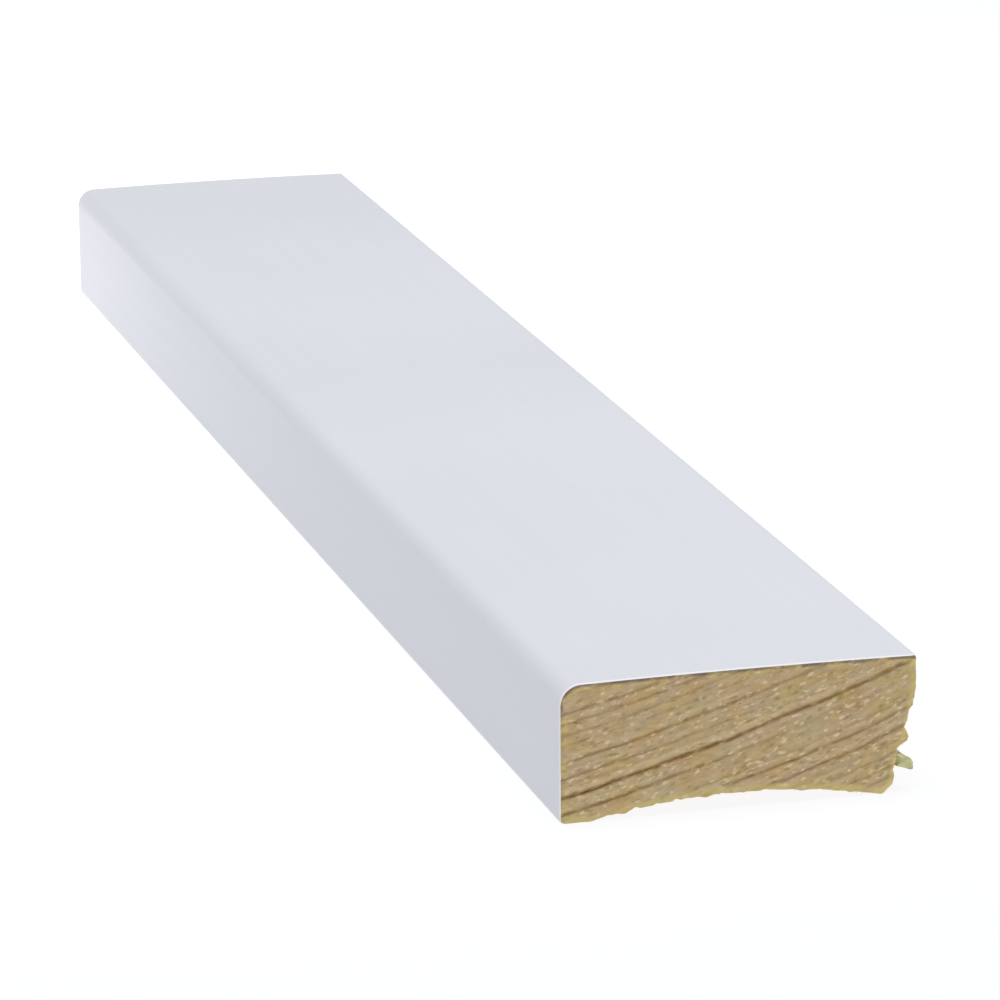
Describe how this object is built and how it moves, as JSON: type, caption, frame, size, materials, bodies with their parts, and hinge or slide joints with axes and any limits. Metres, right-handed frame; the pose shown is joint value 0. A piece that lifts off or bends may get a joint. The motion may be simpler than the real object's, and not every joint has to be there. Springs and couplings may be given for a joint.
{
  "type": "skirting board",
  "caption": "Short length of moulded pine skirting board, painted white on its face, rounded arris and one edge, with a hollow back, a raw back-bevelled floor edge and square-sawn ends.",
  "frame": {"origin": "middle of the footprint, on the plane of the two lands of the back that the board lies on", "axes": "+Y along the board from the splintered sawn end to the clean one, +Z out of the painted face, +X from the painted edge to the raw floor edge"},
  "size_m": [0.042, 0.27, 0.0164],
  "materials": {
    "painted_pine": "satin white paint on the face, the rounded arris and one long edge; raw pine on the sawn ends, the hollow back and the floor edge"
  },
  "bodies": {
    "root": {"skirting_board": "painted_pine"}
  },
  "joints": []
}
